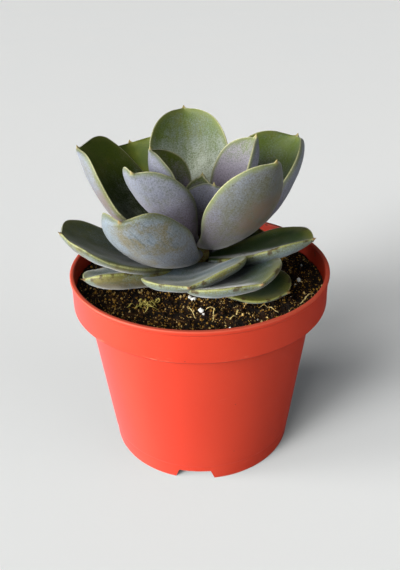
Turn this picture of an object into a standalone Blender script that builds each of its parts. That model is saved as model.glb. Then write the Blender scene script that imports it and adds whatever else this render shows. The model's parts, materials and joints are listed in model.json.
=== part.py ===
"""Potted echeveria: a thick-leaved grey-blue rosette on a short stem, in peat, in a 12 cm nursery pot.

Blender 4.5, metres, +Z up. The origin is on the pot's axis, on the surface that the pot stands on.
-Y is the front. A leaf's direction is in degrees anticlockwise from +X, seen from above.
"""
import math
from dataclasses import dataclass

import bmesh
import bpy
from mathutils import Matrix, Vector, noise

MM = 0.001
GAP = 0.3 * MM

# The pot: a thin moulded nursery pot with a deep collar and a notched foot.
RIM_RADIUS = 60 * MM
POT_HEIGHT = 92.5 * MM
COLLAR_HEIGHT = 15.5 * MM
COLLAR_TAPER = 0.4 * MM
COLLAR_STEP = 6.5 * MM
LIP_HEIGHT = 2.2 * MM
LIP_STAND_OUT = 0.6 * MM
LIP_EDGE = 0.5 * MM
COLLAR_EDGE = 0.8 * MM
FOOT_EDGE = 0.5 * MM
WALL = 1.3 * MM
BASE_RADIUS = 45.6 * MM
FOOT_RADIUS = 44.6 * MM
FOOT_HEIGHT = 8.2 * MM
FLOOR_THICKNESS = 1.6 * MM
POT_SIDES = 64
NOTCH_COUNT = 4
NOTCH_TOP_WIDTH = 15 * MM
NOTCH_FOOT_WIDTH = 18.5 * MM
NOTCH_HEIGHT = 5 * MM
NOTCH_TURN = math.radians(-95)
DRAIN_COUNT = 8
DRAIN_RADIUS = 4 * MM
DRAIN_RING_RADIUS = 31 * MM
DRAIN_SIDES = 12

# The peat and the stem that stands in it.
SOIL_BELOW_RIM = 8.5 * MM
SOIL_RELIEF = 1 * MM
SOIL_MOUND = 0.8 * MM
SOIL_MOUND_RADIUS = 36 * MM
SOIL_LUMP = 7 * MM
SOIL_SMALL_LUMP = 3.2 * MM
SOIL_SMALL_SHARE = 0.6
SOIL_UNDER_STEP = 1.4 * MM
SOIL_RINGS = 14
STEM_RADIUS = 4.6 * MM
STEM_TOP = 108 * MM
STEM_BURIED = 24 * MM
STEM_SIDES = 16
STEM_SCAR_STEP = 5 * MM
STEM_SCAR_DEPTH = 0.4 * MM

# Leaves: rings along the midrib, and points round each ring.
LEAF_RINGS = 11
LEAF_RING_POINTS = 14
CROWN_RINGS = 8
CROWN_RING_POINTS = 10
RING_CROWDING = 1.35
MIDRIB_STEPS = 40
SECTION_STEPS = 24

# A leaf's form. Shares are of its length along the midrib, or of its half width across it.
ROOT_RADIUS = STEM_RADIUS + GAP
ROOT_WIDTH = 9 * MM
ROOT_WIDTH_SHARE = 0.7
WIDEST_AT = 0.6
SWELL = 1.25
KEEL_SHARE = 0.12
THINNING = 0.35
INNER_SHARE = 0.25
OUTER_SHARE = 0.75
POINT_LENGTH = 2 * MM
POINT_RADIUS = 0.75 * MM
POINT_FROM = 0.88
ROLL_BY = 0.5


@dataclass
class Leaf:
    """One leaf. Lengths are in millimetres, angles in degrees; skew widens its left half."""

    name: str
    direction: float
    reach: float
    tip: float
    root: float
    width: float
    cup: float = 25
    rise: float = 5
    roll: float = 0
    sweep: float = 0
    skew: float = 0
    fold: float = 8
    thickness: float = 4
    fullness: float = 2.4
    bluntness: float = 0.58
    root_radius: float = ROOT_RADIUS / MM


# The opening leaves round the heart, from the innermost out.
CROWN_LEAVES = [
    Leaf("heart_tip", 205, 3, 124, 109, 7, cup=45, rise=80, thickness=2.4, root_radius=0.6),
    Leaf("heart_side", 20, 5, 127, 109, 9, cup=45, rise=70, thickness=2.4, root_radius=0.8),
    Leaf(
        "heart_back", 78, 7.6, 134, 109, 19,
        cup=42, rise=63, roll=5, sweep=-3, thickness=2.4, fullness=1.95,
        bluntness=0.71, root_radius=1.2,
    ),
    Leaf(
        "heart_front", 312, 12.5, 135.5, 109.5, 28.5,
        cup=48, rise=38, roll=-5, sweep=-10, skew=-0.07, thickness=2.6,
        fullness=2.5, bluntness=0.57, root_radius=1.5,
    ),
]

# The grown leaves, from the innermost out. Each one gives way to those before it.
LEAVES = [
    Leaf(
        "leaf_inner_right", 29, 30, 149, 108.5, 37,
        cup=47, rise=28, roll=-9, skew=0.03, fullness=2.5, bluntness=0.57,
    ),
    Leaf(
        "leaf_inner_left", 158, 22.5, 146, 109, 38.5,
        cup=66, rise=39, roll=13, fold=9.5, fullness=2.3, bluntness=0.59,
    ),
    Leaf(
        "leaf_inner_front_left", 226.5, 37, 146, 106.5, 38,
        cup=38, rise=42, roll=13, sweep=-2, skew=-0.15, fold=12, fullness=2.1, bluntness=0.44,
    ),
    Leaf(
        "leaf_inner_front_right", 303, 46, 152.5, 105, 36.5,
        cup=37, rise=13, roll=-16, sweep=7, skew=-0.03, fullness=2.5, bluntness=0.5,
    ),
    Leaf(
        "leaf_upper_back", 97, 54.5, 153.5, 104.5, 43,
        cup=34, rise=21, roll=-5, skew=-0.03, fold=9, fullness=2.5, bluntness=0.48,
    ),
    Leaf(
        "leaf_upper_left", 163, 54.5, 146.5, 102, 52,
        cup=30, rise=1, sweep=6, skew=-0.09, fullness=3.4, bluntness=0.26,
    ),
    Leaf(
        "leaf_upper_back_right", 38.5, 62.5, 142.5, 100, 52.5,
        cup=63, rise=-4, skew=0.03, fold=10, fullness=2.85, bluntness=0.33,
    ),
    Leaf(
        "leaf_upper_back_left", 122, 63, 137, 96.5, 42,
        rise=3, roll=-17, sweep=1.5, skew=-0.1, fold=11.5, fullness=3.1, bluntness=0.26,
    ),
    Leaf(
        "leaf_middle_front_left", 241, 51, 131.5, 100, 45.5,
        cup=57, rise=-4, roll=25.5, sweep=-8, skew=-0.15, fold=3.5, fullness=2.05, bluntness=0.26,
    ),
    Leaf("leaf_lower_back_right", 62, 50, 112, 96, 36, thickness=5),
    Leaf("leaf_lower_back_left", 130, 54, 112, 95, 38, thickness=5),
    Leaf(
        "leaf_lower_right", 352, 53, 111.5, 94.5, 34,
        cup=18.5, rise=7.5, roll=-2, sweep=-10, thickness=5.5, fullness=2.2, bluntness=0.61,
    ),
    Leaf(
        "leaf_lower_left", 193, 62.5, 115.5, 95, 48.5,
        cup=15, rise=0, roll=4, skew=0.05, fold=2, thickness=5.5, fullness=3.4, bluntness=0.32,
    ),
    Leaf(
        "leaf_lower_front", 264, 43, 102.5, 93.5, 47,
        cup=17, rise=6, roll=12, skew=0.05, fold=6, thickness=5.5, fullness=2.5,
    ),
    Leaf(
        "leaf_lower_front_right", 300, 52.5, 105.5, 91, 44.5,
        cup=16, roll=6, sweep=-1.5, skew=-0.05, fold=6, thickness=5.5, fullness=2.1,
    ),
    Leaf("leaf_lower_back", 90, 54, 112, 93, 38, thickness=5),
    Leaf("leaf_low_left", 155, 48, 108, 92, 36, thickness=5),
    Leaf(
        "leaf_low_front_left", 207, 57, 98.5, 93, 27.5,
        cup=9, rise=-2, roll=19, thickness=8.5, fullness=2.85, bluntness=0.39,
    ),
    Leaf("leaf_low_right", 25, 38, 101, 91, 30, thickness=5),
    Leaf(
        "leaf_resting_front_right", 321, 49.5, 93, 89.3, 28,
        cup=8, rise=4, roll=9, skew=-0.04, fold=2, fullness=2.45, bluntness=0.47,
    ),
]


def clear_scene():
    for item in list(bpy.data.objects):
        bpy.data.objects.remove(item, do_unlink=True)


def material(name, colour, roughness):
    made = bpy.data.materials.new(name)
    made.use_nodes = True
    shader = made.node_tree.nodes["Principled BSDF"]
    shader.inputs["Base Color"].default_value = (*colour, 1)
    shader.inputs["Roughness"].default_value = roughness
    shader.inputs["Metallic"].default_value = 0
    return made


def add_object(name, mesh, finish, smooth_angle=50):
    made = bpy.data.objects.new(name, mesh)
    bpy.context.scene.collection.objects.link(made)
    mesh.materials.clear()
    mesh.materials.append(finish)
    mesh.shade_smooth()
    mesh.set_sharp_from_angle(angle=math.radians(smooth_angle))
    return made


def mesh_from(bm, name):
    mesh = bpy.data.meshes.new(name)
    bm.to_mesh(mesh)
    bm.free()
    return mesh


def stack_of_rings(rings, start=None, end=None):
    """A closed skin over rings of points, each end drawn to a point or closed flat."""
    bm = bmesh.new()
    loops = [[bm.verts.new(point) for point in ring] for ring in rings]
    count = len(rings[0])
    for below, above in zip(loops, loops[1:]):
        for i in range(count):
            j = (i + 1) % count
            bm.faces.new((below[i], below[j], above[j]))
            bm.faces.new((below[i], above[j], above[i]))
    for loop, point in ((loops[0], start), (loops[-1], end)):
        if point is None:
            bm.faces.new(loop)
            continue
        centre = bm.verts.new(point)
        for i in range(count):
            bm.faces.new((loop[i], loop[(i + 1) % count], centre))
    bmesh.ops.recalc_face_normals(bm, faces=bm.faces)
    bmesh.ops.triangulate(bm, faces=bm.faces)
    return bm


def turned(profile, sides, closed=False):
    """A body turned round the Z axis from (radius, height) points."""
    bm = bmesh.new()
    verts = [bm.verts.new((radius, 0, height)) for radius, height in profile]
    pairs = list(zip(verts, verts[1:]))
    if closed:
        pairs.append((verts[-1], verts[0]))
    edges = [bm.edges.new(pair) for pair in pairs]
    bmesh.ops.spin(bm, geom=verts + edges, axis=(0, 0, 1), cent=(0, 0, 0), steps=sides, angle=math.tau)
    bmesh.ops.remove_doubles(bm, verts=bm.verts, dist=0.01 * MM)
    bmesh.ops.recalc_face_normals(bm, faces=bm.faces)
    return bm


def flattened(item):
    """Replaces an object's mesh by what its modifiers make of it."""
    shape = item.evaluated_get(bpy.context.evaluated_depsgraph_get())
    mesh = bpy.data.meshes.new_from_object(shape)
    item.modifiers.clear()
    item.data = mesh
    return item


def cut_by(item, cutters, solver="EXACT"):
    """Takes the cutters out of an object and removes them."""
    group = bpy.data.collections.new("cutters")
    bpy.context.scene.collection.children.link(group)
    for cutter in cutters:
        group.objects.link(cutter)
        cutter.hide_render = True
        cutter.display_type = "WIRE"
    cut = item.modifiers.new("cut", "BOOLEAN")
    cut.operation = "DIFFERENCE"
    cut.operand_type = "COLLECTION"
    cut.collection = group
    cut.solver = solver
    flattened(item)
    for cutter in cutters:
        bpy.data.objects.remove(cutter, do_unlink=True)
    bpy.data.collections.remove(group)
    return item


def keep_largest_piece(item):
    """Drops the scraps that a cut leaves behind, and keeps the blade."""
    bm = bmesh.new()
    bm.from_mesh(item.data)
    unseen = set(bm.verts)
    pieces = []
    while unseen:
        front = [unseen.pop()]
        piece = list(front)
        while front:
            for edge in front.pop().link_edges:
                for vert in edge.verts:
                    if vert in unseen:
                        unseen.remove(vert)
                        front.append(vert)
                        piece.append(vert)
        pieces.append(piece)
    pieces.sort(key=len)
    scraps = [vert for piece in pieces[:-1] for vert in piece]
    bmesh.ops.delete(bm, geom=scraps, context="VERTS")
    bmesh.ops.triangulate(bm, faces=bm.faces)
    bm.to_mesh(item.data)
    bm.free()
    return item


def ease(x):
    x = min(max(x, 0), 1)
    return x * x * (3 - 2 * x)


def half_section(cup, fold):
    """Half of a blade's cross-section of unit width: (across, up, slope) from the keel to the margin."""

    def slope_at(u):
        return math.radians(fold) * math.tanh(u / KEEL_SHARE) + math.radians(cup) * u

    points = [(0, 0, 0)]
    across = up = 0
    for i in range(SECTION_STEPS):
        slope = slope_at((i + 0.5) / SECTION_STEPS)
        across += math.cos(slope) / SECTION_STEPS
        up += math.sin(slope) / SECTION_STEPS
        points.append((across, up, slope_at((i + 1) / SECTION_STEPS)))
    return points


def on_section(points, u):
    """Reads a half section at u, from -1 at one margin to 1 at the other."""
    place = abs(u) * (len(points) - 1)
    i = min(int(place), len(points) - 2)
    t = place - i
    across, up, slope = (a + (b - a) * t for a, b in zip(points[i], points[i + 1]))
    side = 1 if u >= 0 else -1
    return side * across, up, side * slope


def blade_width(leaf, along):
    """Half width at a share of the blade's length: narrow root, broad upper half, blunt end."""
    half_width = leaf.width * MM / 2
    if along < WIDEST_AT:
        half_root = min(ROOT_WIDTH / 2, ROOT_WIDTH_SHARE * half_width)
        grown = math.sin(math.pi / 2 * along / WIDEST_AT) ** SWELL
        return half_root + (half_width - half_root) * grown
    past = min((along - WIDEST_AT) / (1 - WIDEST_AT), 1)
    return half_width * (1 - past ** leaf.fullness) ** leaf.bluntness


def leaf_skin(leaf, ring_count, ring_points, grow=0):
    """The rings of a leaf and the points that close its two ends, grown by a margin for a cutter."""
    aim = math.radians(leaf.direction)
    tip_aim = math.radians(leaf.direction + leaf.sweep)
    root_radius = leaf.root_radius * MM
    root = Vector((root_radius * math.cos(aim), root_radius * math.sin(aim), leaf.root * MM))
    reach = leaf.reach * MM
    tip = Vector((reach * math.cos(tip_aim), reach * math.sin(tip_aim), leaf.tip * MM))
    rise = math.radians(leaf.rise)
    heading = Vector((math.cos(rise) * math.cos(aim), math.cos(rise) * math.sin(aim), math.sin(rise)))
    span = (tip - root).length
    elbow = root + heading * span / 2
    spots = [midrib(root, elbow, tip, i / MIDRIB_STEPS) for i in range(MIDRIB_STEPS + 1)]
    length = sum((b - a).length for a, b in zip(spots, spots[1:]))
    blade_end = 1 - POINT_LENGTH / length
    section = half_section(leaf.cup, leaf.fold)
    rings = []
    travelled = 0
    before = root
    for i in range(ring_count):
        s = 1 - (1 - i / ring_count) ** RING_CROWDING
        centre = midrib(root, elbow, tip, s)
        ahead = midrib(root, elbow, tip, min(s + 0.01, 1)) - midrib(root, elbow, tip, s - 0.01)
        ahead.normalize()
        travelled += (centre - before).length
        before = centre
        share = travelled / length
        along = min(share / blade_end, 1)
        left = Vector((0, 0, 1)).cross(ahead).normalized()
        inward = ahead.cross(left)
        turn = Matrix.Rotation(math.radians(leaf.roll) * ease(s / ROLL_BY), 3, ahead)
        left = turn @ left
        inward = turn @ inward
        point = 0
        if along > POINT_FROM:
            point = POINT_RADIUS * min(max((1 - share) / (1 - blade_end), 0) ** 0.8, 1.2)
        half_width = max(blade_width(leaf, along), point) + grow
        thickness = leaf.thickness * MM * (1 - THINNING * share ** 2) * (1 - along ** 10) ** 0.5
        thickness = max(thickness, 1.6 * point) + 2 * grow
        if i == 0:
            centre = centre - ahead * grow
        ring = []
        for k in range(ring_points):
            angle = math.tau * k / ring_points
            u = math.cos(angle)
            across, up, slope = on_section(section, u)
            wide = half_width * (1 + leaf.skew * u)
            spot = centre + wide * (across * left + up * inward)
            out = math.cos(slope) * inward - math.sin(slope) * left
            bulge = (1 - abs(u) ** 3) ** 0.5 * thickness
            ring.append(spot + out * bulge * (INNER_SHARE if angle < math.pi else -OUTER_SHARE))
        rings.append(ring)
    middle = sum(rings[0], Vector()) / ring_points
    return rings, middle, tip + ahead * grow


def midrib(root, elbow, tip, s):
    return (1 - s) ** 2 * root + 2 * s * (1 - s) * elbow + s * s * tip


def leaf_object(leaf, finish, grow=0, ring_count=LEAF_RINGS, ring_points=LEAF_RING_POINTS):
    rings, start, end = leaf_skin(leaf, ring_count, ring_points, grow)
    return add_object(leaf.name, mesh_from(stack_of_rings(rings, start, end), leaf.name), finish)


def pot_profile():
    """The pot's wall in section, up the outside from the foot and down the inside to the drain floor."""
    step_height = POT_HEIGHT - COLLAR_HEIGHT
    body_top = RIM_RADIUS - COLLAR_STEP
    collar_foot = RIM_RADIUS - COLLAR_TAPER
    floor_top = FOOT_HEIGHT
    inside_base = BASE_RADIUS - WALL
    inside_rim = RIM_RADIUS - LIP_STAND_OUT - WALL
    inside_collar = inside_radius(POT_HEIGHT)
    lip = POT_HEIGHT - LIP_HEIGHT
    return [
        (FOOT_RADIUS, 0),
        (BASE_RADIUS - FOOT_EDGE / 2, FOOT_HEIGHT - FOOT_EDGE),
        (BASE_RADIUS, FOOT_HEIGHT + FOOT_EDGE),
        (body_top, step_height - COLLAR_EDGE),
        (body_top + COLLAR_EDGE, step_height),
        (collar_foot - COLLAR_EDGE, step_height),
        (collar_foot, step_height + COLLAR_EDGE),
        (RIM_RADIUS - LIP_STAND_OUT, lip - LIP_EDGE),
        (RIM_RADIUS, lip + LIP_EDGE / 2),
        (RIM_RADIUS, POT_HEIGHT - LIP_EDGE),
        (RIM_RADIUS - LIP_EDGE, POT_HEIGHT),
        (inside_rim + LIP_EDGE, POT_HEIGHT),
        (inside_rim, POT_HEIGHT - LIP_EDGE),
        (inside_collar, step_height + WALL + 1.5 * COLLAR_EDGE),
        (inside_collar - 1.5 * COLLAR_EDGE, step_height + WALL),
        (body_top - WALL, step_height + WALL),
        (inside_base, floor_top),
        (0, floor_top),
        (0, floor_top - FLOOR_THICKNESS),
        (FOOT_RADIUS - WALL, floor_top - FLOOR_THICKNESS),
        (FOOT_RADIUS - WALL, 0),
    ]


def inside_radius(height):
    """The pot's inner wall at a height above its floor."""
    step_height = POT_HEIGHT - COLLAR_HEIGHT + WALL
    if height > step_height:
        return RIM_RADIUS - LIP_STAND_OUT - WALL
    share = (height - FOOT_HEIGHT) / (step_height - FOOT_HEIGHT)
    base = BASE_RADIUS - WALL
    return base + (RIM_RADIUS - COLLAR_STEP - WALL - base) * share


def notch_cutter(index, finish):
    """A wedge with a sloping side that opens the foot to let water run out."""
    inner = FOOT_RADIUS - 4 * WALL
    outer = BASE_RADIUS + 2 * WALL
    half_foot = NOTCH_FOOT_WIDTH / 2
    half_top = NOTCH_TOP_WIDTH / 2
    below = -1 * MM
    section = [(-half_foot, below), (half_foot, below), (half_foot, 0), (half_top, NOTCH_HEIGHT)]
    section += [(-half_top, NOTCH_HEIGHT), (-half_foot, 0)]
    rings = [[Vector((x, across, z)) for across, z in section] for x in (inner, outer)]
    bm = stack_of_rings(rings)
    turn = NOTCH_TURN + math.tau * index / NOTCH_COUNT
    bmesh.ops.rotate(bm, verts=bm.verts, cent=(0, 0, 0), matrix=Matrix.Rotation(turn, 3, "Z"))
    return add_object(f"notch_{index}", mesh_from(bm, "notch"), finish)


def drain_cutter(index, finish):
    turn = math.tau * (index + 0.5) / DRAIN_COUNT
    centre = Vector((DRAIN_RING_RADIUS * math.cos(turn), DRAIN_RING_RADIUS * math.sin(turn), FOOT_HEIGHT))
    bm = bmesh.new()
    bmesh.ops.create_cone(
        bm, cap_ends=True, segments=DRAIN_SIDES, radius1=DRAIN_RADIUS, radius2=DRAIN_RADIUS,
        depth=4 * FLOOR_THICKNESS, matrix=Matrix.Translation(centre),
    )
    return add_object(f"drain_{index}", mesh_from(bm, "drain"), finish)


def make_pot():
    finish = material("pot_plastic", (0.72, 0.13, 0.06), 0.42)
    pot = add_object("pot", mesh_from(turned(pot_profile(), POT_SIDES, closed=True), "pot"), finish, 35)
    cutters = [notch_cutter(i, finish) for i in range(NOTCH_COUNT)]
    cutters += [drain_cutter(i, finish) for i in range(DRAIN_COUNT)]
    return cut_by(pot, cutters)


def soil_height(x, y):
    """The crumbly surface: a low mound round the stem with lumps a few millimetres across."""
    radius = math.hypot(x, y)
    lumps = noise.noise(Vector((x, y, 0)) / SOIL_LUMP)
    lumps += SOIL_SMALL_SHARE * noise.noise(Vector((x, y, SOIL_LUMP)) / SOIL_SMALL_LUMP)
    mound = SOIL_MOUND * (1 - ease(radius / SOIL_MOUND_RADIUS))
    return POT_HEIGHT - SOIL_BELOW_RIM + mound + SOIL_RELIEF * lumps


def make_soil():
    """Peat that fills the pot, with a plain hole where the stem goes down into it."""
    finish = material("peat", (0.035, 0.022, 0.014), 0.95)
    edge_height = POT_HEIGHT - SOIL_BELOW_RIM
    step_height = POT_HEIGHT - COLLAR_HEIGHT + WALL
    hole_radius = STEM_RADIUS + GAP
    hole_floor = edge_height - STEM_BURIED - GAP
    outline = [
        (inside_radius(FOOT_HEIGHT + GAP) - GAP, FOOT_HEIGHT + GAP),
        (inside_radius(step_height) - GAP, step_height + GAP),
        (inside_radius(edge_height) - SOIL_UNDER_STEP - GAP, step_height + GAP),
        (inside_radius(edge_height) - GAP, step_height + SOIL_UNDER_STEP + GAP),
    ]
    rings = [[ring_point(radius, height, i) for i in range(POT_SIDES)] for radius, height in outline]
    surface_edge = inside_radius(edge_height) - GAP
    for step in range(SOIL_RINGS + 1):
        radius = surface_edge + (hole_radius - surface_edge) * step / SOIL_RINGS
        ring = []
        for i in range(POT_SIDES):
            spot = ring_point(radius, 0, i)
            spot.z = soil_height(spot.x, spot.y)
            ring.append(spot)
        rings.append(ring)
    rings.append([ring_point(hole_radius, hole_floor, i) for i in range(POT_SIDES)])
    bm = stack_of_rings(rings, Vector((0, 0, FOOT_HEIGHT + GAP)), Vector((0, 0, hole_floor)))
    return add_object("soil", mesh_from(bm, "soil"), finish, 180)


def ring_point(radius, height, index, sides=POT_SIDES):
    angle = math.tau * index / sides
    return Vector((radius * math.cos(angle), radius * math.sin(angle), height))


def make_stem():
    """A short thick stem, ringed by the scars of fallen leaves."""
    finish = material("stem_bark", (0.20, 0.19, 0.09), 0.8)
    foot = POT_HEIGHT - SOIL_BELOW_RIM - STEM_BURIED
    count = round((STEM_TOP - foot) / STEM_SCAR_STEP) * 2
    rings = []
    for step in range(count + 1):
        height = foot + (STEM_TOP - foot) * step / count
        radius = STEM_RADIUS - STEM_SCAR_DEPTH * (step % 2)
        rings.append([ring_point(radius, height, i, STEM_SIDES) for i in range(STEM_SIDES)])
    bm = stack_of_rings(rings)
    return add_object("stem", mesh_from(bm, "stem"), finish)


def stem_cutter(finish):
    heights = (POT_HEIGHT - SOIL_BELOW_RIM - STEM_BURIED, STEM_TOP + GAP)
    radius = STEM_RADIUS + GAP
    rings = [[ring_point(radius, height, i, STEM_SIDES) for i in range(STEM_SIDES)] for height in heights]
    return add_object("stem_space", mesh_from(stack_of_rings(rings), "stem_space"), finish)


def make_crown(finish):
    """The closed heart and the leaves opening round it, grown together in one piece."""
    crown = None
    for leaf in CROWN_LEAVES:
        piece = leaf_object(leaf, finish, ring_count=CROWN_RINGS, ring_points=CROWN_RING_POINTS)
        if crown is None:
            crown = piece
            crown.name = "crown_bud"
            continue
        join = crown.modifiers.new("join", "BOOLEAN")
        join.operation = "UNION"
        join.object = piece
        flattened(crown)
        bpy.data.objects.remove(piece, do_unlink=True)
    cut_by(crown, [stem_cutter(finish)])
    return keep_largest_piece(crown)


def make_leaves():
    """Every leaf gives way to the stem, the crown and the leaves above it, so that none cross.

    The cutters are closed skins that cross each other many times. The MANIFOLD solver keeps
    such a cut closed, where EXACT leaves open edges.
    """
    upper = material("leaf_bloom", (0.33, 0.40, 0.42), 0.6)
    lower = material("leaf_old", (0.24, 0.32, 0.24), 0.6)
    make_crown(upper)
    for index, leaf in enumerate(LEAVES):
        finish = lower if "low" in leaf.name else upper
        blade = leaf_object(leaf, finish)
        cutters = [stem_cutter(finish)]
        for inner in CROWN_LEAVES:
            cutters.append(leaf_object(inner, finish, GAP, CROWN_RINGS, CROWN_RING_POINTS))
        for inner in LEAVES[:index]:
            cutters.append(leaf_object(inner, finish, GAP))
        keep_largest_piece(cut_by(blade, cutters, "MANIFOLD"))


clear_scene()
make_pot()
make_soil()
make_stem()
make_leaves()
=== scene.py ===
"""Looks for a potted echeveria: a grey-blue rosette in peat, in an orange-red nursery pot.

Blender 4.5. +Z is up, -Y is the front, and the origin is on the pot's axis, on the floor.
Directions are in degrees anticlockwise from +X. Lengths are in metres, through MM.
"""
import json
import math
from dataclasses import dataclass

import bmesh
import bpy
import numpy as np
from mathutils import Matrix, Vector, noise

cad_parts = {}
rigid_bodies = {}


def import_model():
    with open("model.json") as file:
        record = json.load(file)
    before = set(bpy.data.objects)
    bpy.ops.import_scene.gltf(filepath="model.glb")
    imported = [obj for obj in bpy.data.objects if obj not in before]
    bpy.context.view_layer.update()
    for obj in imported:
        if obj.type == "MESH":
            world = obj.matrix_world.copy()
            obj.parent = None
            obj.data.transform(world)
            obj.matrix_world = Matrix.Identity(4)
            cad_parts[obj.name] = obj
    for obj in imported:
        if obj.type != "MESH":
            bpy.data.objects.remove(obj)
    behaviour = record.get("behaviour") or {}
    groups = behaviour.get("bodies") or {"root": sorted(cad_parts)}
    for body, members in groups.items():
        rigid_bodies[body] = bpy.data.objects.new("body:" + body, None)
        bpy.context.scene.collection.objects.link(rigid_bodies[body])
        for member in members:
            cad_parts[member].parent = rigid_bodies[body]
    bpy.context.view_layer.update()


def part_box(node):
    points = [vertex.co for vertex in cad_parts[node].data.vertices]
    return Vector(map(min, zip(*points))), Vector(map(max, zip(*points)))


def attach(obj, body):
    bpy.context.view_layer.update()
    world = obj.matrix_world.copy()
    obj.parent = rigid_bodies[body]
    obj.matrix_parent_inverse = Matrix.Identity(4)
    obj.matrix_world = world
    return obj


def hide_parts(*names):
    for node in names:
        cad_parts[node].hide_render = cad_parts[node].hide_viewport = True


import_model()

# The pot. One injection-moulded shell of soft orange-red plastic, 1.3 mm thick, with a deep
# collar, a thin rolled lip, a raised drain floor and four notches that let water out of the foot.
MM = 0.001
POT_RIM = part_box("pot")[1].x
POT_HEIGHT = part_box("pot")[1].z
POT_WALL = 1.3 * MM
COLLAR_FOOT = POT_HEIGHT - 15.5 * MM
COLLAR_TAPER = 0.4 * MM
COLLAR_STEP = 6.5 * MM
LIP_HEIGHT = 2.2 * MM
LIP_STAND_OUT = 0.6 * MM
BASE_RADIUS = 45.6 * MM
FOOT_RADIUS = 44.6 * MM
FOOT_HEIGHT = 8.2 * MM
FLOOR_THICKNESS = 1.6 * MM
FLOOR_RIB_RADII = (14 * MM, 22.5 * MM)
FLOOR_RIB_HEIGHT = 0.7 * MM
FLOOR_RIB_FOOT = 0.7 * MM
FLOOR_RIB_TOP = 0.4 * MM
INSIDE_FILLET = 1.2 * MM
POT_SIDES = 224
NOTCH_COUNT = 4
NOTCH_TOP_WIDTH = 15 * MM
NOTCH_FOOT_WIDTH = 18.5 * MM
NOTCH_HEIGHT = 5 * MM
NOTCH_TURN = math.radians(-95)
DRAIN_COUNT = 8
DRAIN_RADIUS = 4 * MM
DRAIN_RING_RADIUS = 31 * MM


class Term:
    """One socket of a finish in plain arithmetic: each operator adds a Math node."""

    def __init__(self, finish, socket):
        self.finish = finish
        self.socket = socket

    def __add__(self, other):
        return self.finish.math("ADD", self, other)

    def __sub__(self, other):
        return self.finish.math("SUBTRACT", self, other)

    def __rsub__(self, other):
        return self.finish.math("SUBTRACT", other, self)

    def __mul__(self, other):
        return self.finish.math("MULTIPLY", self, other)

    def __abs__(self):
        return self.finish.math("ABSOLUTE", self)

    __radd__ = __add__
    __rmul__ = __mul__


class Finish:
    """A procedural finish: constants set on its shader, and what varies built from Terms."""

    def __init__(self, name, constants):
        self.material = bpy.data.materials.new(name)
        self.material.use_nodes = True
        self.tree = self.material.node_tree
        self.shader = self.tree.nodes["Principled BSDF"]
        for socket, value in constants.items():
            self.shader.inputs[socket].default_value = value

    def feed(self, socket, value):
        """Links a Term to a socket, or sets the socket's constant."""
        if isinstance(value, Term):
            self.tree.links.new(value.socket, socket)
        else:
            socket.default_value = value

    def node(self, kind, settings=(), inputs=(), output=0):
        """Adds a node: its settings first, then the values or links of its sockets."""
        made = self.tree.nodes.new(kind)
        for name, value in dict(settings).items():
            setattr(made, name, value)
        for socket, value in dict(inputs).items():
            self.feed(made.inputs[socket], value)
        return Term(self, made.outputs[output])

    def math(self, operation, *values):
        return self.node("ShaderNodeMath", {"operation": operation}, enumerate(values))

    def either(self, one, other):
        """The greater of two masks."""
        return self.math("MAXIMUM", one, other)

    def band(self, value, low, high):
        """A soft step from 0 at low to 1 at high, or the other way round."""
        inputs = {"Value": value, "From Min": low, "From Max": high}
        return self.node("ShaderNodeMapRange", {"interpolation_type": "SMOOTHSTEP"}, inputs)

    def mix(self, low, high, share):
        """Blends two colours."""
        factor, first, second, colour = 0, 6, 7, 2
        settings = {"data_type": "RGBA"}
        return self.node("ShaderNodeMix", settings, {factor: share, first: low, second: high}, colour)

    def place(self, stretch=(1, 1, 1)):
        """The spot on the object, in metres, stretched along its axes."""
        object_space = 3
        spot = self.node("ShaderNodeTexCoord", output=object_space)
        return self.node("ShaderNodeVectorMath", {"operation": "MULTIPLY"}, {0: spot, 1: stretch})

    def clouds(self, size, detail, where=None):
        """Soft noise round 0.5, with features of this size in metres."""
        inputs = {"Vector": where or self.place(), "Scale": 1 / size, "Detail": detail}
        return self.node("ShaderNodeTexNoise", inputs=inputs)

    def specks(self, spacing, radius, share):
        """Round dots: in this share of the cells of this size in metres."""
        distance, cell_colour = 0, 1
        inputs = {"Vector": self.place(), "Scale": 1 / spacing}
        away = self.node("ShaderNodeTexVoronoi", inputs=inputs, output=distance)
        cell = self.node("ShaderNodeTexVoronoi", inputs=inputs, output=cell_colour)
        chance = self.node("ShaderNodeSeparateColor", inputs={"Color": cell})
        chosen = self.band(chance, share, share - 0.01)
        return self.band(away, radius / spacing, 0.4 * radius / spacing) * chosen

    def attribute(self, name):
        """A number kept on the mesh's points."""
        number = 2
        return self.node("ShaderNodeAttribute", {"attribute_name": name}, output=number)

    def show(self, colour, roughness=None, height=None, relief=0, strength=1):
        """Joins the finished colour, roughness and surface height to the shader."""
        self.feed(self.shader.inputs["Base Color"], colour)
        if roughness is not None:
            self.feed(self.shader.inputs["Roughness"], roughness)
        if height is not None:
            inputs = {"Height": height, "Distance": relief, "Strength": strength}
            self.feed(self.shader.inputs["Normal"], self.node("ShaderNodeBump", inputs=inputs))
        return self.material


def paint(red, green, blue):
    """A colour as a display shows it, from 0 to 255, as the shader's linear colour."""
    shares = (channel / 255 for channel in (red, green, blue))
    return (*(c / 12.92 if c <= 0.04045 else ((c + 0.055) / 1.055) ** 2.4 for c in shares), 1)


def show_piece(name, mesh, material, sharp_above):
    """Puts a finished mesh in the scene as a piece that rides on the one body."""
    made = bpy.data.objects.new(name, mesh)
    bpy.context.scene.collection.objects.link(made)
    mesh.materials.clear()
    mesh.materials.append(material)
    mesh.shade_smooth()
    mesh.set_sharp_from_angle(angle=math.radians(sharp_above))
    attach(made, "root")
    return made


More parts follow.
